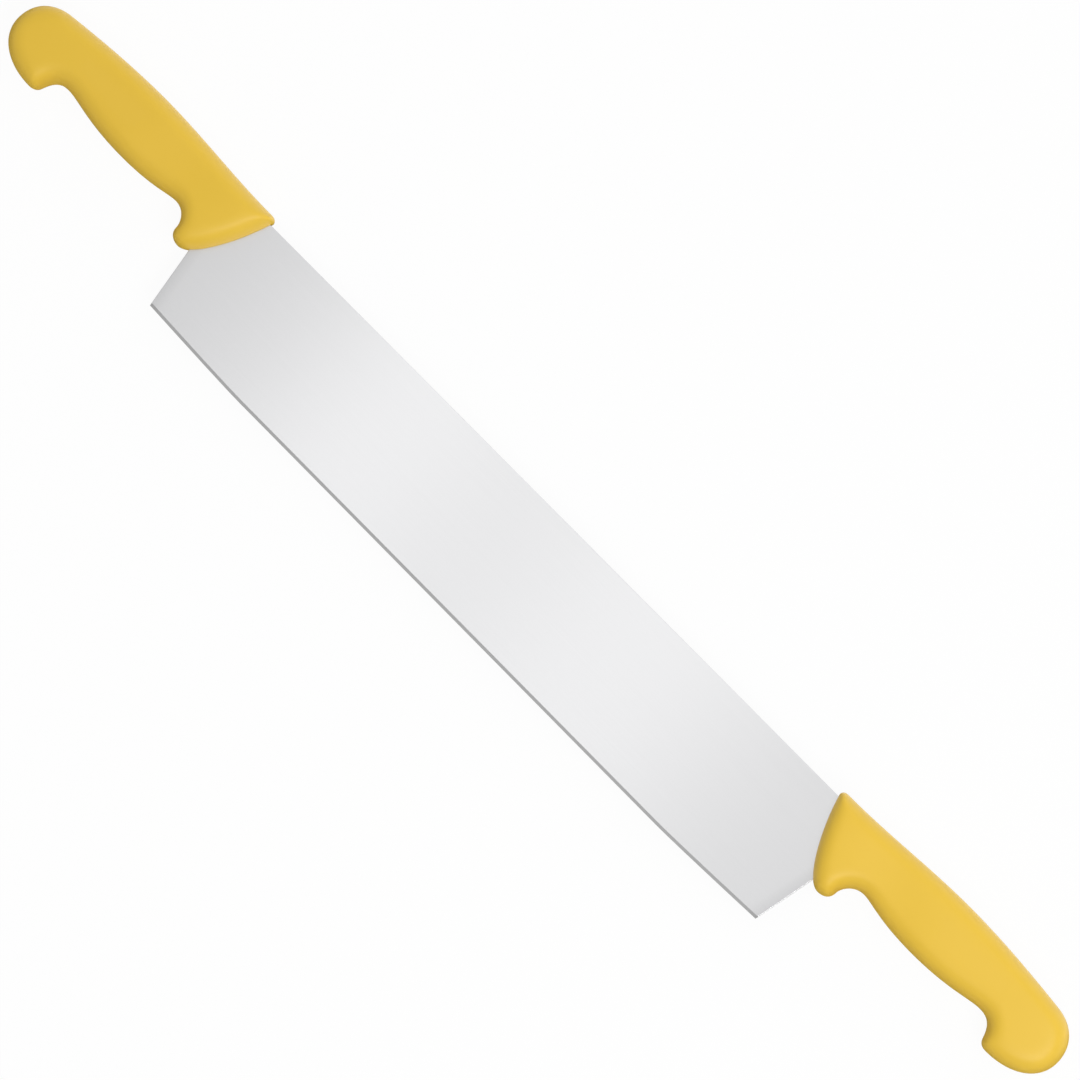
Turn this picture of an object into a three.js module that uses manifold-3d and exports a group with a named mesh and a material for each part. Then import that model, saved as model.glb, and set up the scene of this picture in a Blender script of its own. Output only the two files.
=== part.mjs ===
// Double-handled cheese knife: a long stainless blade with a plastic handle moulded onto each end.
//
// Millimetres, +Z up. The knife lies on the flat cheeks of its handles: X runs along the blade, +Y points
// from the cutting edge to the spine, and the origin is under the middle of the knife's box, on the table.
// The pieces are drawn with the spine as the line y = 0 and the middle of the sheet as z = 0.

import * as THREE from 'three';
import { LoftGeometry } from 'three/addons/geometries/LoftGeometry.js';
import { mergeVertices } from 'three/addons/utils/BufferGeometryUtils.js';
import Module from 'manifold-3d';

// Blade
const EDGE_LENGTH = 380;
const BLADE_HEIGHT = 65;
const SPINE_THICKNESS = 2.2;
const GROUND_THICKNESS = 0.9;
const BEVEL_HEIGHT = 1.4;
const EDGE_THICKNESS = 0.12;
const EDGE_LIFT = 2.15;
const EDGE_LIFT_LENGTH = 60;
const EDGE_LIFT_EASE = 12;
const END_LEAN_DEGREES = 10.4;

// Handles: reach is measured from the mouth that grips the blade, setback from the butt,
// rise above the spine and drop below it
const MOUTH_LAP = 12.6;
const HANDLE_LENGTH = 147.4;
const GRIP_THICKNESS = 23;
const MOUTH_RISE = 1;
const LIP_REACH = 3;
const LIP_RISE = 3.3;
const CROWN_REACH = 74;
const CROWN_RISE = 6.4;
const SHOULDER_SETBACK = 16.1;
const SHOULDER_RISE = 2.7;
const BUTT_DROP = 14.4;
const HOOK_SETBACK = 25.2;
const HOOK_DROP = 32.5;
const HOOK_FACE_SETBACK = 29.8;
const HOOK_FACE_DROP = 29.3;
const NECK_SETBACK = 39.6;
const NECK_DROP = 21.4;
const BELLY_REACH = 70;
const BELLY_DROP = 25.5;
const NOTCH_REACH = 38.2;
const NOTCH_DROP = 22.2;
const GUARD_BACK_REACH = 29;
const GUARD_BACK_DROP = 30.4;
const GUARD_REACH = 23;
const GUARD_DROP = 35.6;

// Rounding of the handle's section towards its rim as a superellipse, the waist that thins its cheeks
// behind the mouth, and the fall of the cheeks towards the butt
const RIM_REACH = 10;
const INWARD_POWER = 3;
const HEIGHT_POWER = 2;
const WAIST_SETBACK = 40;
const WAIST_HALF_LENGTH = 30;
const WAIST_DEPTH = 1;
const BUTT_FALL = 1.2;
const BUTT_FALL_LENGTH = 40;

// Tangs, one at each end of the blade, hidden in the handles: drop below the spine, plastic left between
// the tang and the finger notch, step down from the blade's faces, and setback of the tip from the butt
const TANG_DROP = 3;
const TANG_COVER = 5.2;
const TANG_STEP = 0.1;
const TANG_TAPER = 4;
const TANG_TIP_SETBACK = 40;
const TANG_TIP_RADIUS = 3;
const TANG_FILLET = 2.5;
const TANG_OVERLAP = 4;
const ANCHOR_DIAMETER = 6;
const ANCHOR_COUNT = 3;
const ANCHOR_ROOT_SETBACK = 16;
const ANCHOR_TIP_SETBACK = 17;

// Gap between the steel and the plastic round it, and the plastic's flat land beside that gap
const CLEARANCE = 0.3;
const MOUTH_LAND = 0.4;

// Slopes of the handle's outline at its mouth, shoulder and hook, and the eases of its curves: the share
// of the way for which a curve follows the direction of its first and of its last end
const FRONT_SLOPE = -3.75;
const SHOULDER_SLOPE = -0.11;
const HOOK_FACE_SLOPE = -3;
const FRONT_EASES = [0.15, 0.35];
const MOUTH_TO_LIP_EASES = [0.35, 0.88];
const LIP_TO_CROWN_EASES = [0.35, 0.34];
const CROWN_TO_SHOULDER_EASES = [0.35, 0.32];
const SHOULDER_TO_BUTT_EASES = [0.61, 0.55];
const GUARD_TO_BACK_EASES = [0.62, 0.62];
const BACK_TO_NOTCH_EASES = [0.33, 0.66];
const NOTCH_TO_BELLY_EASES = [0.16, 0.63];
const BELLY_TO_NECK_EASES = [0.58, 0.16];
const NECK_TO_FACE_EASES = [0.49, 0.21];
const FACE_TO_HOOK_EASES = [0.17, 0.48];
const HOOK_TO_BUTT_EASES = [0.57, 0.61];

// Facets: strips of the guard and of each further curve of the handle's underside, rows from the underside
// to the back, strips of each lifted end of the edge, and points on a drawn curve
const GUARD_STRIPS = 18;
const GRIP_STRIPS = [7, 8, 6, 5, 12];
const FAN_GRADING = 1.4;
const CHEEK_ROWS = 14;
const LIFT_STRIPS = 8;
const CURVE_POINTS = 24;
const HOLE_POINTS = 8;
const BUTT_FLAT = 0.1;
const WELD_DISTANCE = 1e-4;

const wasm = await Module();
wasm.setup();

function solidOf(geometry) {
  const bare = new THREE.BufferGeometry();
  bare.setAttribute('position', geometry.attributes.position);
  bare.setIndex(geometry.index);
  const welded = mergeVertices(bare, WELD_DISTANCE);
  return new wasm.Manifold(new wasm.Mesh({
    numProp: 3,
    vertProperties: new Float32Array(welded.attributes.position.array),
    triVerts: new Uint32Array(welded.index.array),
  }));
}

function geometryOf(solid) {
  const mesh = solid.getMesh();
  const geometry = new THREE.BufferGeometry();
  geometry.setAttribute('position', new THREE.BufferAttribute(mesh.vertProperties, 3));
  geometry.setIndex(new THREE.BufferAttribute(mesh.triVerts, 1));
  geometry.computeVertexNormals();
  return geometry;
}

// Blade

const cornerY = EDGE_LIFT - BLADE_HEIGHT;
const handleX = EDGE_LENGTH / 2 - MOUTH_LAP;

// The right half of the cutting edge is straight until it lifts towards its corner
function liftedEdge() {
  const corner = new THREE.Vector2(EDGE_LENGTH / 2, cornerY);
  const start = new THREE.Vector2(corner.x - EDGE_LIFT_LENGTH, -BLADE_HEIGHT);
  const bend = new THREE.Vector2(start.x + EDGE_LIFT_EASE, -BLADE_HEIGHT);
  return new THREE.QuadraticBezierCurve(start, bend, corner).getPoints(LIFT_STRIPS);
}

// Distance from the middle of the blade to its leaning end at a height y
function endReach(y) {
  return EDGE_LENGTH / 2 + (y - cornerY) * Math.tan(THREE.MathUtils.degToRad(END_LEAN_DEGREES));
}

// The sheet thins in a straight taper from the spine to the edge
function sheetThickness(y) {
  return SPINE_THICKNESS + (SPINE_THICKNESS - GROUND_THICKNESS) * y / BLADE_HEIGHT;
}

// A ring round the sheet through one point of the edge, grown all round by an allowance
function bladeSection(edge, allowance) {
  const share = edge.x / (EDGE_LENGTH / 2);
  const edgeX = share * (endReach(cornerY) + allowance);
  const spineX = share * (endReach(0) + allowance);
  const at = (y, thickness, side) => {
    const x = THREE.MathUtils.mapLinear(y, edge.y, 0, edgeX, spineX);
    return new THREE.Vector3(x, y, side * (thickness / 2 + allowance));
  };
  const bevelY = edge.y + BEVEL_HEIGHT;
  const spineToEdge = (side) => [
    at(allowance, SPINE_THICKNESS, side),
    at(bevelY, sheetThickness(bevelY), side),
    at(edge.y - allowance, EDGE_THICKNESS, side),
  ];
  return [...spineToEdge(1), ...spineToEdge(-1).reverse()];
}

function bladeBody(allowance) {
  const right = liftedEdge();
  const left = right.map((point) => new THREE.Vector2(-point.x, point.y)).reverse();
  const sections = [...left, ...right].map((point) => bladeSection(point, allowance));
  return solidOf(new LoftGeometry(sections, { capStart: true, capEnd: true }));
}

// The right-hand tang: a tapered tongue with a filleted root, round tip corners and anchor holes
function tang(allowance) {
  const rootHeight = NOTCH_DROP - TANG_COVER - TANG_DROP;
  const middle = -TANG_DROP - rootHeight / 2;
  const top = -TANG_DROP + allowance;
  const bottom = -TANG_DROP - rootHeight - allowance;
  const tipTop = top - TANG_TAPER / 2;
  const tipBottom = bottom + TANG_TAPER / 2;
  const root = endReach(middle);
  const tip = handleX + HANDLE_LENGTH - TANG_TIP_SETBACK;
  const end = tip + allowance;
  const wall = (y) => endReach(y) + allowance;
  const fillet = Math.min(TANG_FILLET, TANG_DROP);

  const shape = new THREE.Shape();
  shape.moveTo(root - TANG_OVERLAP, bottom - fillet);
  shape.lineTo(wall(bottom - fillet), bottom - fillet);
  shape.quadraticCurveTo(wall(bottom), bottom, wall(bottom) + fillet, bottom);
  shape.lineTo(end - TANG_TIP_RADIUS, tipBottom);
  shape.quadraticCurveTo(end, tipBottom, end, tipBottom + TANG_TIP_RADIUS);
  shape.lineTo(end, tipTop - TANG_TIP_RADIUS);
  shape.quadraticCurveTo(end, tipTop, end - TANG_TIP_RADIUS, tipTop);
  shape.lineTo(wall(top) + fillet, top);
  shape.quadraticCurveTo(wall(top), top, wall(top + fillet), top + fillet);
  shape.lineTo(root - TANG_OVERLAP, top + fillet);

  const firstHole = root + ANCHOR_ROOT_SETBACK;
  const pitch = (tip - ANCHOR_TIP_SETBACK - firstHole) / (ANCHOR_COUNT - 1);
  for (let hole = 0; hole < ANCHOR_COUNT; hole += 1) {
    const rim = new THREE.Path();
    rim.absarc(firstHole + hole * pitch, middle, ANCHOR_DIAMETER / 2 - allowance, 0, 2 * Math.PI, true);
    shape.holes.push(rim);
  }
  const lowest = -TANG_DROP - rootHeight - fillet;
  const depth = sheetThickness(lowest) - 2 * TANG_STEP + 2 * allowance;
  const options = { depth, bevelEnabled: false, curveSegments: HOLE_POINTS };
  return new THREE.ExtrudeGeometry(shape, options).translate(0, 0, -depth / 2);
}

// The whole steel sheet or, with an allowance, the room that it needs inside the plastic
function steel(allowance) {
  const right = tang(allowance);
  const left = right.clone().rotateY(Math.PI);
  return bladeBody(allowance).add(solidOf(right)).add(solidOf(left));
}

// Handle outline, drawn for the right-hand end with x from its mouth

const mouth = new THREE.Vector2(0, MOUTH_RISE);
const lip = new THREE.Vector2(LIP_REACH, LIP_RISE);
const crown = new THREE.Vector2(CROWN_REACH, CROWN_RISE);
const shoulder = new THREE.Vector2(HANDLE_LENGTH - SHOULDER_SETBACK, SHOULDER_RISE);
const butt = new THREE.Vector2(HANDLE_LENGTH, -BUTT_DROP);
const hook = new THREE.Vector2(HANDLE_LENGTH - HOOK_SETBACK, -HOOK_DROP);
const hookFace = new THREE.Vector2(HANDLE_LENGTH - HOOK_FACE_SETBACK, -HOOK_FACE_DROP);
const neck = new THREE.Vector2(HANDLE_LENGTH - NECK_SETBACK, -NECK_DROP);
const belly = new THREE.Vector2(BELLY_REACH, -BELLY_DROP);
const notch = new THREE.Vector2(NOTCH_REACH, -NOTCH_DROP);
const guardBack = new THREE.Vector2(GUARD_BACK_REACH, -GUARD_BACK_DROP);
const guard = new THREE.Vector2(GUARD_REACH, -GUARD_DROP);

// A curve that leaves one point and reaches another along given slopes: 0 is level, Infinity is upright
function sweep(from, fromSlope, to, toSlope, [fromEase, toEase]) {
  const pull = (point, slope, ease) => {
    const run = slope === Infinity ? 0 : ease * (to.x - from.x);
    const rise = slope === Infinity ? ease * (to.y - from.y) : run * slope;
    return new THREE.Vector2(point.x + run, point.y + rise);
  };
  const fromPull = pull(from, fromSlope, fromEase);
  return new THREE.CubicBezierCurve(from, fromPull, pull(to, toSlope, -toEase), to);
}

const front = sweep(mouth, FRONT_SLOPE, guard, 0, FRONT_EASES);
const back = [
  sweep(mouth, Infinity, lip, 0, MOUTH_TO_LIP_EASES),
  sweep(lip, 0, crown, 0, LIP_TO_CROWN_EASES),
  sweep(crown, 0, shoulder, SHOULDER_SLOPE, CROWN_TO_SHOULDER_EASES),
  sweep(shoulder, SHOULDER_SLOPE, butt, Infinity, SHOULDER_TO_BUTT_EASES),
];
const guardCurves = [
  sweep(guard, 0, guardBack, Infinity, GUARD_TO_BACK_EASES),
  sweep(guardBack, Infinity, notch, 0, BACK_TO_NOTCH_EASES),
];
const gripCurves = [
  sweep(notch, 0, belly, 0, NOTCH_TO_BELLY_EASES),
  sweep(belly, 0, neck, 0, BELLY_TO_NECK_EASES),
  sweep(neck, 0, hookFace, HOOK_FACE_SLOPE, NECK_TO_FACE_EASES),
  sweep(hookFace, HOOK_FACE_SLOPE, hook, 0, FACE_TO_HOOK_EASES),
  sweep(hook, 0, butt, Infinity, HOOK_TO_BUTT_EASES),
];

function pointsAlong(curves) {
  return curves.flatMap((curve, i) => curve.getPoints(CURVE_POINTS).slice(i === 0 ? 0 : 1));
}

const backPoints = pointsAlong(back);
const undersidePoints = pointsAlong([...guardCurves, ...gripCurves]);
const frontPoints = pointsAlong([front]);
const outline = [...undersidePoints, ...backPoints.toReversed().slice(1), ...frontPoints.slice(1, -1)];

function heightAt(points, x) {
  const after = points.findIndex((point, i) => i > 0 && point.x >= x);
  const [a, b] = [points[after - 1], points[after]];
  return THREE.MathUtils.mapLinear(x, a.x, b.x, a.y, b.y);
}

// Handle surface

// Smooth distance to the outline: every stretch of it counts by the inverse fourth power of its distance.
// Beside a straight side this is the plain distance, and no ridge forms where two sides are equally near.
function rimDistance(place) {
  const least = 0.01;
  const total = outline.reduce((sum, start, i) => {
    const along = outline[(i + 1) % outline.length].clone().sub(start);
    const length = along.length();
    const offset = start.clone().sub(place);
    const from = offset.dot(along) / length;
    const away = Math.max(least, Math.abs(offset.cross(along)) / length);
    const pull = (s) => s / (2 * away ** 2 * (away ** 2 + s ** 2)) + Math.atan(s / away) / (2 * away ** 3);
    return sum + pull(from + length) - pull(from);
  }, 0);
  return (2 * total / Math.PI) ** (-1 / 3);
}

// The waist is deepest at its setback behind the slanted mouth and fades out half a length away
const mouthReaches = frontPoints.map((point) => new THREE.Vector2(point.y, point.x)).reverse();

function waist(place) {
  const behindMouth = place.x - heightAt(mouthReaches, THREE.MathUtils.clamp(place.y, guard.y, mouth.y));
  const away = Math.min(1, Math.abs(behindMouth - WAIST_SETBACK) / WAIST_HALF_LENGTH);
  return WAIST_DEPTH * (1 - away ** 2) ** 3;
}

function buttFall(place) {
  return BUTT_FALL * Math.max(0, 1 - (HANDLE_LENGTH - place.x) / BUTT_FALL_LENGTH) ** 2;
}

// Half the handle's thickness at a place: the cheek, rounded off as a superellipse that ends in an upright
// band round the mid-plane
function cheekHeight(place) {
  const land = SPINE_THICKNESS / 2 + CLEARANCE + MOUTH_LAND;
  const cheek = GRIP_THICKNESS / 2 - waist(place) - buttFall(place);
  const inward = Math.min(1, rimDistance(place) / RIM_REACH);
  return land + (cheek - land) * (1 - (1 - inward) ** INWARD_POWER) ** (1 / HEIGHT_POWER);
}

// Ribs across the handle, each from the underside to the back. They fan out from the slanted mouth,
// stand upright from the finger notch on, and stop a hair before the butt.
function handleRibs() {
  const guardPath = new THREE.CurvePath();
  guardCurves.forEach((curve) => guardPath.add(curve));
  const fanned = (fan) => ({
    low: guardPath.getPoint(fan),
    high: new THREE.Vector2(fan * notch.x, heightAt(backPoints, fan * notch.x)),
    fan,
  });
  const upright = (x) => ({
    low: new THREE.Vector2(x, heightAt(undersidePoints, x)),
    high: new THREE.Vector2(x, heightAt(backPoints, x)),
    fan: 1,
  });
  const steps = (count) => Array.from({ length: count }, (_, i) => (i + 1) / count);
  const places = GRIP_STRIPS.flatMap((strips, i) => steps(strips).map((t) => gripCurves[i].getPoint(t).x));
  return [
    ...[0, ...steps(GUARD_STRIPS)].map((share) => fanned(share ** FAN_GRADING)),
    ...places.map((x) => upright(Math.min(x, butt.x - BUTT_FLAT))),
  ];
}

// The solid moulding: a finely divided box laid over the ribs
function handleForm() {
  const ribs = handleRibs();
  const strips = ribs.length - 1;
  const geometry = new THREE.BoxGeometry(1, 1, 1, strips, CHEEK_ROWS, 1);
  const position = geometry.attributes.position;
  for (let i = 0; i < position.count; i += 1) {
    const rib = ribs[Math.round((position.getX(i) + 0.5) * strips)];
    const share = (1 - Math.cos(Math.PI * (position.getY(i) + 0.5))) / 2;
    const bulge = front.getPoint(1 - share).sub(guard.clone().lerp(mouth, share));
    const place = rib.low.clone().lerp(rib.high, share).addScaledVector(bulge, (1 - rib.fan) ** 2);
    position.setXYZ(i, place.x, place.y, 2 * position.getZ(i) * cheekHeight(place));
  }
  return geometry;
}

// The moulding without the room for the steel. The plastic that fills the anchor holes is its keys.
function handle() {
  const form = solidOf(handleForm().translate(handleX, 0, 0));
  return geometryOf(form.subtract(steel(CLEARANCE)));
}

// Assembly

const stainless = new THREE.MeshStandardMaterial({ color: 0xd9d9d8, roughness: 0.32, metalness: 1 });
const yellowPlastic = new THREE.MeshStandardMaterial({ color: 0xe8c248, roughness: 0.5, metalness: 0 });

function piece(name, geometry, material) {
  const mesh = new THREE.Mesh(geometry, material);
  mesh.name = name;
  return mesh;
}

const moulding = handle();
const leftHandle = piece('left_handle', moulding, yellowPlastic);
leftHandle.rotation.y = Math.PI;
const rightHandle = piece('right_handle', moulding, yellowPlastic);

const knife = new THREE.Group();
knife.add(piece('blade', geometryOf(steel(0)), stainless), leftHandle, rightHandle);
knife.position.set(0, (BLADE_HEIGHT - CROWN_RISE) / 2, GRIP_THICKNESS / 2);

const part = new THREE.Group();
part.add(knife);
export default part;
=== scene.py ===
# %% [markdown]
# # A double-handled cheese knife
#
# This knife cuts whole wheels of cheese: one long sheet of ground steel, with a plastic handle moulded onto
# each end so that both hands can push it down. The knife's construction comes as a frame of plain solids at
# their real size, and this lesson dresses it. Each piece is made again as a fine surface that numpy works
# out on a grid, gets the finish of the real material, and is lit as in a small product studio.

import math

import bmesh
import bpy
import numpy as np
from mathutils import Matrix, Vector


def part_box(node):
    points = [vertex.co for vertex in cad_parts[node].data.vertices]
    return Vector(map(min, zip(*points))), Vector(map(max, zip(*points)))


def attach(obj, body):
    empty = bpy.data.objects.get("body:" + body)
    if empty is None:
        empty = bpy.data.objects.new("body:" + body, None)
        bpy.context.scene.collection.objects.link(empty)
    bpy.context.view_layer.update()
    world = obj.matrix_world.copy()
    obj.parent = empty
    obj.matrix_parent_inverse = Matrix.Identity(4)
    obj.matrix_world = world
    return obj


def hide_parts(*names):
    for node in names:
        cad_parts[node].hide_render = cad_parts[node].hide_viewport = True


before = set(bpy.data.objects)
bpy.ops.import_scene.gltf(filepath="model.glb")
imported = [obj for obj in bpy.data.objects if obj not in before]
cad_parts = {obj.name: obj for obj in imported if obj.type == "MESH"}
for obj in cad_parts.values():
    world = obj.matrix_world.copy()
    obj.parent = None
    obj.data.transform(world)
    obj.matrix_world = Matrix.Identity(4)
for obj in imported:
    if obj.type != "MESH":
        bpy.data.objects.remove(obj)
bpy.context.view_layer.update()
MM = 0.001

print("solids in the frame:", sorted(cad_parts))

# %% [markdown]
# ## Sizes
#
# Blender works in metres, but a knife is easier to think of in millimetres, so every size below is in
# millimetres and is scaled once, when a surface becomes a mesh. The main sizes are read from the solids.
# Shapes are drawn as the maker would: x along the blade from its middle, y up from the spine, and z out
# from the middle of the sheet.

# %% Read the main sizes from the solids
def box_in_mm(solid):
    """Lowest and highest corner of a solid, each divided by one millimetre."""
    low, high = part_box(solid)
    return np.array(low) / MM, np.array(high) / MM


steel_low, steel_high = box_in_mm("blade")
grip_low, grip_high = box_in_mm("right_handle")

SPINE_LEVEL = steel_high[1]
SHEET_LEVEL = (steel_low[2] + steel_high[2]) / 2
SPINE_THICKNESS = steel_high[2] - steel_low[2]
BLADE_HEIGHT = steel_high[1] - steel_low[1]
TANG_TIP = steel_high[0]
MOUTH_X = grip_low[0]
HANDLE_LENGTH = grip_high[0] - grip_low[0]
GRIP_THICKNESS = grip_high[2] - grip_low[2]
CROWN_RISE = grip_high[1] - SPINE_LEVEL
GUARD_DROP = SPINE_LEVEL - grip_low[1]

print(f"blade {BLADE_HEIGHT:.1f} mm tall")
print(f"handles {HANDLE_LENGTH:.1f} mm long and {GRIP_THICKNESS:.1f} mm thick")

# %% [markdown]
# ## Camera
#
# The camera comes before the pieces, and it takes the photograph's view. The photograph looks almost
# straight down with a long lens, and the knife runs across the frame from corner to corner. Its two handles
# are alike, so the small difference in their size in the picture gave the tilt.

# %% Place the camera
LENS_LENGTH = 180.0
SENSOR_WIDTH = 36.0
CAMERA_PLACE = Vector((326.4, -56.1, 2347.3)) * MM
CAMERA_AIM = Vector((6.3, 15.7, 10.6)) * MM
PICTURE_UP = Vector((-0.703, 0.7013, 0.1178))

camera = bpy.data.objects.new("camera", bpy.data.cameras.new("camera"))
bpy.context.scene.collection.objects.link(camera)
bpy.context.scene.camera = camera
camera.data.lens = LENS_LENGTH
camera.data.sensor_width = SENSOR_WIDTH

backward = (CAMERA_PLACE - CAMERA_AIM).normalized()
rightward = PICTURE_UP.cross(backward).normalized()
upward = backward.cross(rightward)
turned = Matrix((rightward, upward, backward)).transposed().to_4x4()
camera.matrix_world = Matrix.Translation(CAMERA_PLACE) @ turned

print(f"camera {(CAMERA_PLACE - CAMERA_AIM).length:.3f} m from the knife")

# %% [markdown]
# ## From a grid to a piece
#
# Both kinds of piece are grids of points: rings of points, where each ring is joined to the next. One
# helper turns such a grid into a mesh. Where a shape closes, its points simply coincide, and the helper
# welds them, so a seam or a pole needs no special case. A mesh made this way is smooth, with its real
# corners kept sharp.

# %% Turn a grid of points into a closed mesh
WELD_DISTANCE = 0.001


def grid_piece(name, grid, sharp_angle):
    """A closed piece from a grid of rings by points: the four points shared by two neighbouring rings and
    two neighbouring places on them span a face, and points in the same place are welded into one. Edges
    that turn more than the sharp angle are shaded as corners."""
    rings, points, _ = grid.shape
    index = np.arange(rings * points).reshape(rings, points)
    faces = np.stack([index[:-1, :-1], index[1:, :-1], index[1:, 1:], index[:-1, 1:]], axis=-1)
    along = np.cumsum(np.linalg.norm(np.diff(grid, axis=0, prepend=grid[:1]), axis=2), axis=0)
    round_it = np.cumsum(np.linalg.norm(np.diff(grid, axis=1, prepend=grid[:, :1]), axis=2), axis=1)
    lengths = np.stack([along, round_it], axis=-1).reshape(-1, 2)

    mesh = bpy.data.meshes.new(name)
    mesh.vertices.add(rings * points)
    mesh.vertices.foreach_set("co", (grid * MM).astype(np.float32).ravel())
    mesh.loops.add(faces.size)
    mesh.loops.foreach_set("vertex_index", faces.ravel())
    mesh.polygons.add(faces.size // 4)
    mesh.polygons.foreach_set("loop_start", np.arange(0, faces.size, 4))
    mesh.update(calc_edges=True)
    mesh.uv_layers.new(name="lengths")
    corner_lengths = (lengths[faces.ravel()] * MM).astype(np.float32)
    mesh.uv_layers["lengths"].uv.foreach_set("vector", corner_lengths.ravel())

    welded = bmesh.new()
    welded.from_mesh(mesh)
    bmesh.ops.remove_doubles(welded, verts=welded.verts, dist=WELD_DISTANCE * MM)
    if welded.calc_volume(signed=True) < 0:
        bmesh.ops.reverse_faces(welded, faces=welded.faces)
    volume = welded.calc_volume() / (10 * MM) ** 3
    welded.to_mesh(mesh)
    welded.free()
    mesh.shade_smooth()
    mesh.set_sharp_from_angle(angle=sharp_angle)

    edges = np.zeros(len(mesh.loops), dtype=np.int32)
    mesh.loops.foreach_get("edge_index", edges)
    open_edges = np.count_nonzero(np.bincount(edges) != 2)
    print(f"{name}: {len(mesh.polygons)} faces, {volume:.2f} cm3, open edges {open_edges}")

    piece = bpy.data.objects.new(name, mesh)
    bpy.context.scene.collection.objects.link(piece)
    return piece


def placed(grid):
    """A grid drawn from the spine and the middle of the sheet, moved to its place in the knife's frame."""
    return grid + np.array([0, SPINE_LEVEL, SHEET_LEVEL])


print("the middle of the spine lies at", placed(np.zeros(3)).round(2).tolist(), "mm")

# %% [markdown]
# ## Blade
#
# The real blade is stamped from 2.2 mm stainless sheet, ground thinner towards the edge, and given a
# narrow cutting bevel. Its ends lean outwards towards the spine and run on, inside the handles, as two
# tangs. A cube with bevels could give the outline, but not the taper, the edge that lifts a little at its
# ends and the broken corners all at once. So the blade is a section carried along its length: the ring of
# points round the sheet keeps its plan, and its size follows the edge, the leaning end and then the tang.

# %% Give the blade its outline and taper
EDGE_LENGTH = 380.0
EDGE_LIFT = 2.15
EDGE_LIFT_LENGTH = 60.0
EDGE_LIFT_EASE = 12.0
EDGE_CURVE_STEPS = 100
END_LEAN = math.radians(10.4)
GROUND_THICKNESS = 0.9

CORNER_X = EDGE_LENGTH / 2
CORNER_Y = EDGE_LIFT - BLADE_HEIGHT


def end_reach(y):
    """Distance from the middle of the blade to its leaning end: the corner's, plus the height above the
    corner times the tangent of the lean."""
    return CORNER_X + (y - CORNER_Y) * math.tan(END_LEAN)


def half_sheet(y):
    """Half the sheet's thickness: a straight taper from the spine down to the ground edge."""
    return (SPINE_THICKNESS + (SPINE_THICKNESS - GROUND_THICKNESS) * y / BLADE_HEIGHT) / 2


def edge_height(x):
    """Height of the cutting edge: level, then a parabola that leaves it smoothly and ends at the corner."""
    t = np.linspace(0, 1, EDGE_CURVE_STEPS)
    start = CORNER_X - EDGE_LIFT_LENGTH
    curve_x = start + 2 * t * (1 - t) * EDGE_LIFT_EASE + t**2 * EDGE_LIFT_LENGTH
    return np.interp(x, curve_x, t**2 * EDGE_LIFT) - BLADE_HEIGHT


print(f"the end is {end_reach(CORNER_Y):.1f} mm out at the edge, {end_reach(0):.1f} mm out at the spine")

# %% Lay out the points of the half section
SPINE_STEPS = 10
FLANK_STEPS = 10
BEVEL_STEPS = 2
FLANK_MARGIN = 0.05
FLANK_SUPPORT = 0.004

# The rows at the support distance hold the flank flat right up to its corners.
turns = np.linspace(0, math.pi / 2, SPINE_STEPS)
flank = np.concatenate([
    [FLANK_SUPPORT],
    np.linspace(FLANK_MARGIN, 1 - FLANK_MARGIN, FLANK_STEPS),
    [1 - FLANK_SUPPORT, 1],
])
bevel = np.linspace(0, 1, BEVEL_STEPS + 1)[1:]

# Each point of the half section, from the middle of the spine to the edge, is told by three numbers: how far
# round the spine's corner it lies, which share of the flank, and which share of the bevel.
corner_turn = np.concatenate([[0], turns, np.full(len(flank) + len(bevel), math.pi / 2)])
flank_share = np.concatenate([np.zeros(1 + len(turns)), flank, np.ones(len(bevel))])
bevel_share = np.concatenate([np.zeros(1 + len(turns) + len(flank)), bevel])
on_spine_line = np.arange(len(corner_turn)) == 0
print(f"{len(corner_turn)} points from the middle of the spine to the edge")

# %% Carry the section along the right half
BEVEL_HEIGHT = 1.4
EDGE_THICKNESS = 0.12
SPINE_ROUND = 0.3
END_ROUND = 0.3
END_THINNING = 0.3


def half_section(edge_x):
    """Right-hand sections through the points edge_x of the edge. Going down the flank, y is the spine's
    round corner, then a share of the way to the bevel line, then a share of the bevel. x leans with the
    blade's end in proportion to the distance from the middle, and the last bit of each end is thinned
    along a quarter circle."""
    edge_x = edge_x[:, None]
    bevel_line = edge_height(edge_x) + BEVEL_HEIGHT
    y = SPINE_ROUND * (np.cos(corner_turn) - 1) + flank_share * (bevel_line + SPINE_ROUND)
    y = y - bevel_share * BEVEL_HEIGHT
    z = half_sheet(np.maximum(y, bevel_line)) - SPINE_ROUND * (1 - np.sin(corner_turn))
    z = z + bevel_share * (EDGE_THICKNESS / 2 - z)
    z = np.where(on_spine_line, 0, z)
    inward = np.clip((CORNER_X - edge_x) / END_ROUND, 0, 1)
    z = z * (1 - END_THINNING * (1 - np.sqrt(1 - (1 - inward) ** 2)))
    return np.stack([edge_x / CORNER_X * end_reach(y), y, z], axis=-1)


LEVEL_RINGS = 14
LIFTED_RINGS = 24
END_STEPS = 8
END_SUPPORT = 0.15

end_turns = np.linspace(0, math.pi / 2, END_STEPS)
edge_rings = np.concatenate([
    np.linspace(0, CORNER_X - EDGE_LIFT_LENGTH, LEVEL_RINGS),
    np.linspace(CORNER_X - EDGE_LIFT_LENGTH, CORNER_X - END_ROUND - END_SUPPORT, LIFTED_RINGS)[1:],
    CORNER_X - END_ROUND * (1 - np.sin(end_turns)),
])
print(f"{len(edge_rings)} rings from the middle to the end")

# %% Run the ends on into the tangs
TANG_DROP = 3.0
TANG_HEIGHT = 14.0
TANG_TAPER = 4.0
TANG_THICKNESS = 1.6
TANG_TIP_RADIUS = 3.0


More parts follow.
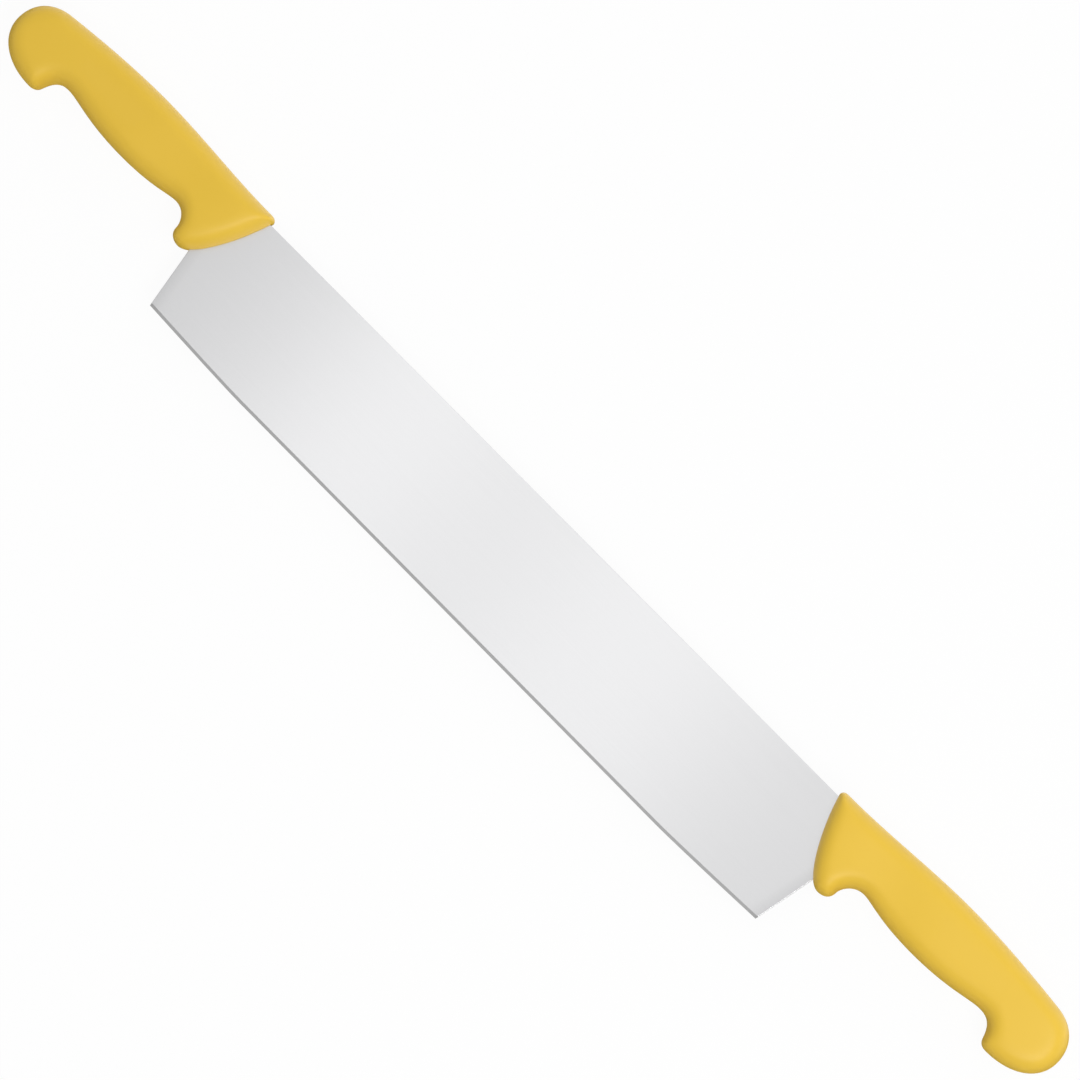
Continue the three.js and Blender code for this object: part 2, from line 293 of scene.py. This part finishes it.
def half_tang(share):
    """Right-hand tang sections, share 0 at the root and 1 at the tip: the end section squeezed between the
    tang's tapering sides and rounded tip corners, and no thicker than the tang."""
    share = share[:, None]
    _, y, z = np.moveaxis(half_section(np.array([CORNER_X])), 2, 0)
    from_tip = np.minimum((1 - share) * (TANG_TIP - end_reach(-TANG_DROP)), TANG_TIP_RADIUS)
    narrowing = TANG_TAPER / 2 * share + TANG_TIP_RADIUS
    narrowing = narrowing - np.sqrt(TANG_TIP_RADIUS**2 - (TANG_TIP_RADIUS - from_tip) ** 2)
    y = np.clip(y, -TANG_DROP - TANG_HEIGHT + narrowing, -TANG_DROP - narrowing)
    z = np.minimum(z, TANG_THICKNESS / 2) * np.ones_like(share)
    x = end_reach(y) + share * (TANG_TIP - end_reach(y))
    return np.stack([x, y, z], axis=-1)


TANG_RINGS = 12
EVEN_SHARE = 0.95
TIP_SHARE = 0.035

# The rings are even along most of the tang and crowd together in its rounded tip.
tang_rings = np.concatenate([
    np.linspace(0, EVEN_SHARE, TANG_RINGS),
    1 - TIP_SHARE * (1 - np.sin(end_turns)),
])
print(f"{len(tang_rings)} rings along a tang of {TANG_TIP - end_reach(-TANG_DROP):.1f} mm")

# %% Close the sections into the whole blade
BLADE_SHARP_ANGLE = math.radians(12)

quarter = np.concatenate([half_section(edge_rings), half_tang(tang_rings)])
quarter = np.concatenate([quarter, quarter[-1:] * [1, 1, 0]])
right_half = np.concatenate([quarter, quarter[:, ::-1] * [1, 1, -1]], axis=1)
blade_grid = np.concatenate([right_half[::-1] * [-1, 1, 1], right_half])

blade = grid_piece("blade_sheet", placed(blade_grid), BLADE_SHARP_ANGLE)
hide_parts("blade")
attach(blade, "root")

# %% [markdown]
# ## Handle outline
#
# The handle is one solid moulding of polypropylene. Seen from the side it has a slanted mouth that grips the
# blade, a guard below it, a finger notch, a belly for the palm and a hooked butt that stops the hand. The
# outline is a chain of twelve cubic curves between those named points, each set by the slope at its two ends
# and by how long the curve follows that slope. That is far easier to correct than a traced line.

# %% Place the named points of the outline
mouth = np.array([0.0, 1.0])
lip = np.array([3.0, 3.3])
crown = np.array([74.0, CROWN_RISE])
shoulder = np.array([HANDLE_LENGTH - 16.1, 2.7])
butt = np.array([HANDLE_LENGTH, -14.4])
hook = np.array([HANDLE_LENGTH - 25.2, -32.5])
hook_face = np.array([HANDLE_LENGTH - 29.8, -29.3])
neck = np.array([HANDLE_LENGTH - 39.6, -21.4])
belly = np.array([70.0, -25.5])
notch = np.array([38.2, -22.2])
guard_back = np.array([29.0, -30.4])
guard = np.array([23.0, -GUARD_DROP])
print(f"{neck[0] - notch[0]:.1f} mm for the fingers, from the notch to the neck")

# %% Join them with curves
UPRIGHT = math.inf
OUTLINE_STEPS = 60
MOUTH_SLOPE = -3.75
SHOULDER_SLOPE = -0.11
HOOK_FACE_SLOPE = -3.0


def sweep(start, start_slope, end, end_slope, start_ease, end_ease):
    """Points of a cubic curve between two points. Each inner control point lies on the slope of its own end,
    its ease being the share of the way across, and the points are the four controls weighted by
    (1-t)^3, 3t(1-t)^2, 3t^2(1-t) and t^3."""
    across = end - start

    def pull(slope, ease):
        """Step to a control point: the ease times the way across, along the slope."""
        return ease * (across * [0, 1] if slope == UPRIGHT else across[0] * np.array([1, slope]))

    t = np.linspace(0, 1, OUTLINE_STEPS)[:, None]
    start_pull = start + pull(start_slope, start_ease)
    end_pull = end - pull(end_slope, end_ease)
    inner = 3 * t * (1 - t) ** 2 * start_pull + 3 * t**2 * (1 - t) * end_pull
    return (1 - t) ** 3 * start + inner + t**3 * end


def chain(*curves):
    """Curves joined end to end, each without its first point, which the one before has already given."""
    return np.concatenate([curves[0][:1], *[curve[1:] for curve in curves]])


def length_along(points):
    """Length walked along a line up to each of its points."""
    return np.concatenate([[0], np.cumsum(np.linalg.norm(np.diff(points, axis=0), axis=1))])


front = sweep(guard, 0, mouth, MOUTH_SLOPE, 0.35, 0.15)
back = chain(
    sweep(mouth, UPRIGHT, lip, 0, 0.35, 0.88),
    sweep(lip, 0, crown, 0, 0.35, 0.34),
    sweep(crown, 0, shoulder, SHOULDER_SLOPE, 0.35, 0.32),
    sweep(shoulder, SHOULDER_SLOPE, butt, UPRIGHT, 0.61, 0.55),
)
underside = chain(
    sweep(guard, 0, guard_back, UPRIGHT, 0.62, 0.62),
    sweep(guard_back, UPRIGHT, notch, 0, 0.33, 0.66),
    sweep(notch, 0, belly, 0, 0.16, 0.63),
    sweep(belly, 0, neck, 0, 0.58, 0.16),
    sweep(neck, 0, hook_face, HOOK_FACE_SLOPE, 0.49, 0.21),
    sweep(hook_face, HOOK_FACE_SLOPE, hook, 0, 0.17, 0.48),
    sweep(hook, 0, butt, UPRIGHT, 0.57, 0.61),
)
outline = chain(underside, back[::-1], front[::-1])
print(f"outline {length_along(outline)[-1]:.0f} mm round, {len(outline)} points")

# %% [markdown]
# ## Handle surface
#
# A subdivision cage would round the rim by eye. Here the thickness is a formula instead. The cheeks have a
# shallow waist behind the mouth, fall a little towards the butt, and are rounded off to the rim as a
# superellipse of the distance to the outline. The plain distance has a crease wherever two sides are equally
# near, so a smooth one is used, in which every stretch of the outline counts by the inverse fourth power of
# its distance.
#
# The grid's ribs run from the rim to a line down the middle of the cheek. They fan out at the mouth and
# the butt and lean at the guard and the hook, so that they leave the rim at a fair angle everywhere. At the
# mouth the rings turn inwards along the steel, which leaves a real slot for the blade.

# %% Cut lines to a stretch and into even steps
RIM_STEP = 0.7


def even_steps(points, step):
    """The same line in steps of even length: its points are looked up at even lengths along it."""
    length = length_along(points)
    even = np.linspace(0, length[-1], math.ceil(length[-1] / step) + 1)
    return np.stack([np.interp(even, length, points[:, i]) for i in range(2)], axis=-1)


def between(line, low, high):
    """The stretch of a line whose x lies from low to high, with its two ends cut exactly there."""
    ends = [[x, np.interp(x, line[:, 0], line[:, 1])] for x in (low, high)]
    inner = line[(line[:, 0] > low) & (line[:, 0] < high)]
    return np.concatenate([ends[:1], inner, ends[1:]])


print(f"the slanted mouth has {len(even_steps(front, RIM_STEP))} points at even steps")

# %% Lay ribs across the handle
MIDDLE_DROP = 11.0
MIDDLE_START = 20.0
MIDDLE_END = HANDLE_LENGTH - 17.0
GUARD_BACK_RIB = 23.0
HOOK_FACE_RIB = neck[0] + 13.0
HOOK_RIB = neck[0] + 17.0


def ribs_from(points, middle_x):
    """Ribs as rows of four numbers: a point of the rim, then the point of the middle line at middle_x."""
    middle_x = np.broadcast_to(middle_x, len(points))
    return np.stack([*points.T, middle_x, np.full(len(points), -MIDDLE_DROP)], axis=-1)


# Where along the middle line the ribs from the named points of the underside end.
ends_of_ribs = [
    (guard, MIDDLE_START),
    (guard_back, GUARD_BACK_RIB),
    (notch, notch[0]),
    (neck, neck[0]),
    (hook_face, HOOK_FACE_RIB),
    (hook, HOOK_RIB),
    (between(underside, MIDDLE_END, butt[0])[0], MIDDLE_END),
]
lower = even_steps(between(underside, guard[0], MIDDLE_END), RIM_STEP)
away = np.linalg.norm(lower[:, None] - np.array([point for point, _ in ends_of_ribs]), axis=-1)
lower_length = length_along(lower)
middle_x = np.interp(lower_length, lower_length[away.argmin(axis=0)], [x for _, x in ends_of_ribs])
upper = np.stack([middle_x, np.interp(middle_x, back[:, 0], back[:, 1])], axis=-1)

butt_end = chain(between(underside, MIDDLE_END, butt[0]), between(back, MIDDLE_END, butt[0])[::-1])
mouth_end = chain(between(back, 0, MIDDLE_START)[::-1], front[::-1])
ribs = chain(
    ribs_from(lower, middle_x),
    ribs_from(even_steps(butt_end, RIM_STEP), MIDDLE_END),
    ribs_from(upper, middle_x)[::-1],
    ribs_from(even_steps(mouth_end, RIM_STEP), MIDDLE_START),
)
rim, middle = ribs[:, :2], ribs[:, 2:]
print(f"{len(rim)} ribs on each cheek")

# %% Measure the distance to the rim
LEAST_DISTANCE = 1e-3


def rim_distance(places):
    """Smooth distance to the outline. The integral of 1/distance^4 along a straight stretch, at height h
    above its line and between s1 and s2 along it, is [s/(2h^2(h^2+s^2)) + atan(s/h)/(2h^3)] from s1 to s2.
    Their sum, times 2/pi and to the power -1/3, is the plain distance beside one long straight side."""
    start, step = outline[:-1], np.diff(outline, axis=0)
    length = np.linalg.norm(step, axis=1)
    heading = step / length[:, None]
    offset = start - places[:, None]
    from_foot = np.sum(offset * heading, axis=-1)
    height = np.abs(offset[..., 0] * heading[:, 1] - offset[..., 1] * heading[:, 0])
    height = np.maximum(height, LEAST_DISTANCE)

    def pull(s):
        """The bracket of the integral at s."""
        return s / (2 * height**2 * (height**2 + s**2)) + np.arctan(s / height) / (2 * height**3)

    return (2 / math.pi * np.sum(pull(from_foot + length) - pull(from_foot), axis=1)) ** (-1 / 3)


print(f"the middle line starts {rim_distance(middle[:1])[0]:.1f} mm from the rim")

# %% Work out the cheek's height
RIM_REACH = 10.0
INWARD_POWER = 3
HEIGHT_POWER = 2
WAIST_SETBACK = 40.0
WAIST_HALF_LENGTH = 30.0
WAIST_DEPTH = 1.0
BUTT_FALL = 1.2
BUTT_FALL_LENGTH = 40.0
RINGS = 28


def waist(places):
    """A dip that is deepest at its setback behind the slanted mouth. It fades out as the cube of 1 minus the
    squared share of its half length."""
    behind_mouth = places[..., 0] - np.interp(places[..., 1], front[:, 1], front[:, 0])
    away = np.minimum(1, np.abs(behind_mouth - WAIST_SETBACK) / WAIST_HALF_LENGTH)
    return WAIST_DEPTH * (1 - away**2) ** 3


def butt_fall(places):
    """How far the cheek falls towards the butt: a parabola over its last stretch."""
    share = np.maximum(0, 1 - (HANDLE_LENGTH - places[..., 0]) / BUTT_FALL_LENGTH)
    return BUTT_FALL * share**2


def cheek_height(places):
    """Half the handle's thickness, as a superellipse: with s the rim distance as a share of the rounding's
    reach, (1 - s)^3 plus the square of the share of the cheek's height is 1. An ellipse would have squares
    in both places, and its cheeks would be less flat."""
    cheek = GRIP_THICKNESS / 2 - waist(places) - butt_fall(places)
    distance = np.stack([rim_distance(ring) for ring in places])
    inward = np.minimum(1, distance / RIM_REACH)
    return cheek * (1 - (1 - inward) ** INWARD_POWER) ** (1 / HEIGHT_POWER)


# The shares of the way to the middle line crowd together at the rim, where the surface turns most.
shares = 1 - np.cos(np.linspace(math.pi / 2, 0, RINGS + 1)[:-1])
cheek_places = rim + shares[:, None, None] * (middle - rim)
cheek_heights = cheek_height(cheek_places)
print(f"{RINGS} rings on a cheek, {cheek_heights.min():.2f} to {cheek_heights.max():.2f} mm high")

# %% Cut the slot and close the handle
HAIR_GAP = 0.12
SEAM_RISE = 0.08
SEAM_HALF_WIDTH = 0.1
SEAM_FOOT = 0.28

# The mould's two halves meet round the rim and leave a fine raised line there, the parting seam.
heading = np.gradient(np.concatenate([rim[-2:-1], rim, rim[1:2]]), axis=0)[1:-1]
outward = np.stack([heading[:, 1], -heading[:, 0]], axis=-1) / np.linalg.norm(heading, axis=1)[:, None]

held = (rim[:, 1] <= HAIR_GAP) & (rim[:, 0] + MOUTH_X <= end_reach(rim[:, 1]) + HAIR_GAP)
slot_height = np.where(held, half_sheet(rim[:, 1]) + HAIR_GAP, 0)
in_tang = (rim[:, 1] <= HAIR_GAP - TANG_DROP) & (rim[:, 1] >= -TANG_DROP - TANG_HEIGHT - HAIR_GAP)
slot_end = np.where(in_tang, TANG_TIP, end_reach(rim[:, 1])) + HAIR_GAP - MOUTH_X
slot_floor = np.stack([np.where(held, slot_end, rim[:, 0]), rim[:, 1]], axis=-1)


def ring_at(places, heights):
    """A ring of points from places in the plan and heights out from the middle of the sheet."""
    return np.concatenate([places, np.broadcast_to(heights, len(places))[:, None]], axis=-1)


seam_foot = ring_at(rim, np.where(held, slot_height, SEAM_FOOT))
crest_places = rim + np.where(held, 0, SEAM_RISE)[:, None] * outward
seam_crest = ring_at(crest_places, np.where(held, slot_height, SEAM_HALF_WIDTH))
slot_wall = ring_at(np.where(held[:, None], slot_floor, crest_places), seam_crest[:, 2])
cheek = np.stack([ring_at(*ring) for ring in zip(cheek_places, np.maximum(cheek_heights, slot_height))])
half_handle = np.concatenate([cheek, seam_foot[None], seam_crest[None], slot_wall[None]])
handle_grid = np.concatenate([half_handle, half_handle[::-1] * [1, 1, -1]]) + [MOUTH_X, 0, 0]

HANDLE_SHARP_ANGLE = math.radians(50)
right_handle = grid_piece("right_grip", placed(handle_grid), HANDLE_SHARP_ANGLE)
left_handle = grid_piece("left_grip", placed(handle_grid * [-1, 1, -1]), HANDLE_SHARP_ANGLE)
for grip, solid in ((right_handle, "right_handle"), (left_handle, "left_handle")):
    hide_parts(solid)
    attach(grip, "root")

# %% [markdown]
# ## Finishes
#
# A finish starts from what the material is and how its surface was made. One helper adds a node with its
# settings and links, so a material reads as a list of what it is made of. Colours are written as the hex
# values that a screen shows and are turned to linear light once.

# %% Helpers for finishes
def linear(hex_colour):
    """Linear red, green, blue and alpha of an sRGB hex colour: each channel c is c/12.92 when dark, and
    ((c + 0.055) / 1.055)^2.4 otherwise."""
    channels = np.array([int(hex_colour[i:i + 2], 16) for i in (1, 3, 5)]) / 255
    light = np.where(channels <= 0.04045, channels / 12.92, ((channels + 0.055) / 1.055) ** 2.4)
    return (*light.tolist(), 1.0)


def add(tree, kind, settings=None, inputs=None):
    """One new node of a kind: settings are its properties, and each input is a value or another node's
    output, which is linked to it."""
    made = tree.nodes.new("ShaderNode" + kind)
    for name, value in (settings or {}).items():
        setattr(made, name, value)
    for name, value in (inputs or {}).items():
        if isinstance(value, bpy.types.NodeSocket):
            tree.links.new(value, made.inputs[name])
        else:
            made.inputs[name].default_value = value
    return made


def new_material(name):
    """An empty node material and its tree."""
    material = bpy.data.materials.new(name)
    material.use_nodes = True
    material.node_tree.nodes.clear()
    return material, material.node_tree


print("middle grey in linear light:", round(linear("#808080")[0], 3))

# %% [markdown]
# ### Ground stainless steel
#
# The blade is hardened stainless steel, ground on a fine belt along its length. The belt's grit leaves
# lines that run lengthwise, so a reflection is drawn out across them and stays crisp along them. That is
# why the lights show on the blade as bands from spine to edge. The cutting bevel is ground later on a wheel,
# across the edge, so it has its lines the other way. Its darker tone is partly that coarser grind and partly
# painted shade for the dark reflection that the bevel shows. The last few millimetres of each end are given
# a painted shade, a slightly darker tone where the ends look shaded.

# %% Mark the painted shade at the ends
# Painted shade: the steel's tone darkens over this length towards each end of the blade.
END_SHADE_LENGTH = 6.0

blade_points = np.zeros(3 * len(blade.data.vertices), dtype=np.float32)
blade.data.vertices.foreach_get("co", blade_points)
point_x, point_y, _ = blade_points.reshape(-1, 3).T / MM
from_end = end_reach(point_y - SPINE_LEVEL) - np.abs(point_x)
end_shade = np.clip(1 - from_end / END_SHADE_LENGTH, 0, 1).astype(np.float32)
blade.data.attributes.new("end_shade", "FLOAT", "POINT").data.foreach_set("value", end_shade)
print(f"{np.count_nonzero(end_shade)} points within {END_SHADE_LENGTH} mm of the ends")

# %% Make the two ground finishes
# The light grey that the tone is multiplied by at the very ends, for the painted shade.
END_SHADE_TONE = "#F2F2F2"

# A Mix node has sockets for every kind of data, and these are the ones for colours.
FIRST_COLOUR = 6
SECOND_COLOUR = 7
MIXED_COLOUR = 2


def ground_steel(name, tones, roughness, line_size, turn):
    """Ground steel: noise drawn out along the grinding lines mixes two tones and gives a slight bump. The
    tone is multiplied by a light grey towards the ends, a painted shade. line_size is the lines' size along
    x and along y in millimetres, and turn is the direction in which reflections are drawn out, in turns from
    the blade's length."""
    material, tree = new_material(name)
    along_x, along_y = line_size
    drawn_out = add(tree, "Mapping", inputs={
        "Vector": add(tree, "TexCoord").outputs["Object"],
        "Scale": (1 / (along_x * MM), 1 / (along_y * MM), 1 / (along_y * MM)),
    })
    lines = add(tree, "TexNoise", inputs={
        "Vector": drawn_out.outputs["Vector"], "Scale": 1.0, "Detail": 3.0, "Roughness": 0.5,
    }).outputs["Fac"]
    tone = add(tree, "Mix", {"data_type": "RGBA"}, {
        0: lines, FIRST_COLOUR: linear(tones[0]), SECOND_COLOUR: linear(tones[1]),
    })
    # Painted shade: the tone darkens towards the ends of the blade.
    shaded_tone = add(tree, "Mix", {"data_type": "RGBA", "blend_type": "MULTIPLY"}, {
        0: add(tree, "Attribute", {"attribute_name": "end_shade"}).outputs["Fac"],
        FIRST_COLOUR: tone.outputs[MIXED_COLOUR],
        SECOND_COLOUR: linear(END_SHADE_TONE),
    })
    bump = add(tree, "Bump", inputs={"Height": lines, "Strength": 0.1, "Distance": 0.002 * MM})
    along = add(tree, "Tangent", {"direction_type": "UV_MAP", "uv_map": "lengths"})
    steel = add(tree, "BsdfPrincipled", inputs={
        "Base Color": shaded_tone.outputs[MIXED_COLOUR],
        "Metallic": 1.0,
        "Roughness": roughness,
        "Anisotropic": 0.6,
        "Anisotropic Rotation": turn,
        "Tangent": along.outputs["Tangent"],
        "Normal": bump.outputs["Normal"],
    })
    add(tree, "OutputMaterial", inputs={"Surface": steel.outputs["BSDF"]})
    return material


# Real grit lines are under 0.1 mm wide. They are drawn about twice as wide, so that a close view shows them.
FLANK_LINES = (60.0, 0.16)
BEVEL_LINES = (0.2, 6.0)
blade.data.materials.append(ground_steel(
    "satin_stainless_steel", ("#D6D6D7", "#DCDCDD"), 0.275, FLANK_LINES, turn=0.25,
))
# The bevel's darker tones are partly its coarser grind and partly painted shade for the dark reflection it
# shows.
blade.data.materials.append(ground_steel(
    "ground_stainless_bevel", ("#C0C0C0", "#CBCBCB"), 0.3, BEVEL_LINES, turn=0.0,
))
print("finishes of the blade:", [material.name for material in blade.data.materials])

# %% Give the bevel its finish
face_centres = np.zeros(3 * len(blade.data.polygons), dtype=np.float32)
blade.data.polygons.foreach_get("center", face_centres)
face_x, face_y, _ = face_centres.reshape(-1, 3).T / MM
on_bevel = face_y - SPINE_LEVEL < edge_height(np.abs(face_x)) + BEVEL_HEIGHT
blade.data.polygons.foreach_set("material_index", on_bevel.astype(np.int32))
print(f"{on_bevel.sum()} faces on the bevel")

# %% [markdown]
# ### Moulded polypropylene
#
# The handles are polypropylene, coloured yellow all through and moulded in a steel tool whose cavity was
# spark-eroded. That leaves an even fine grain which spreads the highlights into a satin sheen. The colour
# drifts very slightly where the plastic flowed.

# %% Make the moulded polypropylene
GRAIN_SIZE = 0.5
FLOW_SIZE = 40.0


def moulded_polypropylene():
    """Satin plastic: a slow noise shifts the yellow, and a fine one gives the eroded grain as bump. The real
    grain is about 0.1 mm, and it is drawn at 0.5 mm so that it shows."""
    material, tree = new_material("moulded_yellow_polypropylene")
    place = add(tree, "TexCoord").outputs["Object"]
    flow = add(tree, "TexNoise", inputs={
        "Vector": place, "Scale": 1 / (FLOW_SIZE * MM), "Detail": 2.0,
    }).outputs["Fac"]
    grain = add(tree, "TexNoise", inputs={
        "Vector": place, "Scale": 1 / (GRAIN_SIZE * MM), "Detail": 2.0, "Roughness": 0.6,
    }).outputs["Fac"]
    yellow = add(tree, "Mix", {"data_type": "RGBA"}, {
        0: flow, FIRST_COLOUR: linear("#E6BC30"), SECOND_COLOUR: linear("#EBC238"),
    })
    gloss = add(tree, "MapRange", inputs={"Value": grain, "To Min": 0.42, "To Max": 0.52})
    bump = add(tree, "Bump", inputs={"Height": grain, "Strength": 0.25, "Distance": 0.03 * MM})
    plastic = add(tree, "BsdfPrincipled", inputs={
        "Base Color": yellow.outputs[MIXED_COLOUR],
        "Roughness": gloss.outputs["Result"],
        "IOR": 1.49,
        "Normal": bump.outputs["Normal"],
    })
    add(tree, "OutputMaterial", inputs={"Surface": plastic.outputs["BSDF"]})
    return material


plastic = moulded_polypropylene()
for grip in (right_handle, left_handle):
    grip.data.materials.append(plastic)
print("finish of the handles:", plastic.name)

# %% [markdown]
# ## Studio
#
# The knife lies on a white sweep, in even light from all round. One soft box stands on the right, a smaller
# one nearer to the right handle makes it the brighter of the two, and a long low one behind the spine
# brightens the rims that face it. Two strips hang above: a ground blade shows what is over it, and the gap
# between the strips is the slightly darker middle of the blade. Cards that are seen only in reflections
# darken the cutting bevel and the blade's two ends. Two more lie on the floor, for the rims of the handles:
# a dark one on the shadow side and a bright one behind. White that only the camera and reflections see makes
# the background white without more light on the knife.

# %% Light the knife
def soft_box(name, place, aim, width, length, power, reflected=True):
    """An area light of a width and length in metres at a place, facing the point that it is aimed at. One
    that isn't reflected lights the knife but doesn't show in it."""
    lamp = bpy.data.lights.new(name, "AREA")
    lamp.shape = "RECTANGLE"
    lamp.size, lamp.size_y = width, length
    lamp.energy = power
    holder = bpy.data.objects.new(name, lamp)
    holder.location = place
    holder.rotation_mode = "QUATERNION"
    holder.rotation_quaternion = (Vector(aim) - Vector(place)).to_track_quat("-Z", "Y")
    holder.visible_camera = False
    holder.visible_glossy = reflected
    bpy.context.scene.collection.objects.link(holder)


MIDDLE = (0.0, 0.0, 0.0)
RIGHT_GRIP = (0.25, 0.0, 0.0)
soft_box("right_soft_box", place=(1.7, -0.7, 2.5), aim=MIDDLE, width=1.2, length=1.2, power=28.3)
# From low in front the blade would mirror the back soft box as plain white, so that box isn't reflected.
soft_box(
    "back_soft_box", place=(0.0, 2.3, 1.0), aim=MIDDLE, width=3.2, length=1.8, power=15.5, reflected=False,
)
soft_box("near_soft_box", place=(0.75, 0.2, 1.2), aim=RIGHT_GRIP, width=0.5, length=0.5, power=3.2)

STRIP_HEIGHT = 0.92
STRIP_Y = 0.25
STRIP_LENGTH = 1.4


def strip(name, x, width, power):
    """A long narrow soft box that hangs level over the blade and shines straight down."""
    soft_box(name, (x, STRIP_Y, STRIP_HEIGHT), (x, STRIP_Y, 0.0), width, STRIP_LENGTH, power)


strip("left_strip", x=-0.24, width=0.11, power=0.27)
strip("right_strip", x=-0.03, width=0.15, power=0.27)
print("lamps:", sorted(lamp.name for lamp in bpy.data.lights))

# %% Hang the grey cards
def grey_card(name, x, y, z, level):
    """A card that only reflections see. Its level is 0 for black, 1 for white, and more for a card that
    glows brighter than white. x is its range from left to right, and y and z are those of its near and far
    edge, in metres."""
    paint, tree = new_material(name)
    glow = add(tree, "Emission", inputs={"Color": (level, level, level, 1), "Strength": 1.0})
    add(tree, "OutputMaterial", inputs={"Surface": glow.outputs["Emission"]})
    mesh = bpy.data.meshes.new(name)
    corners = [(x[0], y[0], z[0]), (x[1], y[0], z[0]), (x[1], y[1], z[1]), (x[0], y[1], z[1])]
    mesh.from_pydata(corners, [], [(0, 1, 2, 3)])
    mesh.materials.append(paint)
    card = bpy.data.objects.new(name, mesh)
    card.visible_camera = False
    card.visible_diffuse = False
    card.visible_transmission = False
    card.visible_shadow = False
    bpy.context.scene.collection.objects.link(card)


# The two cards on the floor lie just under the knife and meet below the back rims of its handles. The dark
# one is a painted shadow of the floor in the rims' reflections, the bright one a painted reflection of lit
# floor.
FLOOR_LEVEL = -0.1 * MM
CARD_LEVEL = FLOOR_LEVEL / 2
BACK_RIM = grip_high[1] * MM
grey_card("bevel_card", x=(-1.6, 1.6), y=(-1.3, -0.45), z=(0.95, 1.4), level=0.6)
grey_card("left_card", x=(-1.4, -0.455), y=(-0.4, 1.4), z=(1.6, 1.6), level=0.85)
grey_card("right_card", x=(0.15, 1.4), y=(-0.4, 1.4), z=(1.6, 1.6), level=0.93)
# Painted shadow: a dark sheet that the handles' rims reflect where the floor lies in their shade.
grey_card("front_card", x=(-1.2, 1.2), y=(-1.2, BACK_RIM), z=(CARD_LEVEL, CARD_LEVEL), level=0.1)
# Painted reflection: a sheet that glows brighter than white, for the lit floor behind the handles.
grey_card("back_card", x=(-1.2, 1.2), y=(BACK_RIM, 1.2), z=(CARD_LEVEL, CARD_LEVEL), level=1.3)
print("cards:", sorted(mesh.name for mesh in bpy.data.meshes if mesh.name.endswith("_card")))

# %% Lay the white sweep and light it from all round
FILL = 0.475
WHITE_SHARE = 0.95
SWEEP_HALF_WIDTH = 8.0


def seen_directly(tree):
    """1 for what the camera, a reflection or clear glass sees, 0 for light that only falls on things."""
    path = add(tree, "LightPath").outputs
    either = {0: path["Is Camera Ray"], 1: path["Is Glossy Ray"]}
    seen = add(tree, "Math", {"operation": "MAXIMUM"}, either).outputs[0]
    clear = {0: seen, 1: path["Is Transmission Ray"]}
    return add(tree, "Math", {"operation": "MAXIMUM"}, clear).outputs[0]


world = bpy.data.worlds.new("studio")
world.use_nodes = True
bpy.context.scene.world = world
sky = world.node_tree
sky.nodes.clear()
level = add(sky, "MapRange", inputs={"Value": seen_directly(sky), "To Min": FILL, "To Max": 1.0})
around = add(sky, "Background", inputs={"Color": (1, 1, 1, 1), "Strength": level.outputs["Result"]})
add(sky, "OutputWorld", inputs={"Surface": around.outputs["Background"]})

white, sheet = new_material("white_sweep")
matt = add(sheet, "BsdfDiffuse", inputs={"Color": linear("#F2F2F2")})
glow = add(sheet, "Emission", inputs={"Color": (1, 1, 1, 1), "Strength": 1.0})
share = add(sheet, "Math", {"operation": "MULTIPLY"}, {0: seen_directly(sheet), 1: WHITE_SHARE}).outputs[0]
mixed = add(sheet, "MixShader", inputs={0: share, 1: matt.outputs["BSDF"], 2: glow.outputs["Emission"]})
add(sheet, "OutputMaterial", inputs={"Surface": mixed.outputs["Shader"]})

corners = np.array([[-1, -1, 0], [1, -1, 0], [1, 1, 0], [-1, 1, 0]]) * SWEEP_HALF_WIDTH
corners = corners + [0, 0, FLOOR_LEVEL]
floor_mesh = bpy.data.meshes.new("sweep")
floor_mesh.from_pydata(corners.tolist(), [], [(0, 1, 2, 3)])
floor_mesh.materials.append(white)
floor = bpy.data.objects.new("sweep", floor_mesh)
bpy.context.scene.collection.objects.link(floor)
bpy.context.scene.view_settings.view_transform = "Standard"
print("floor:", floor.name)
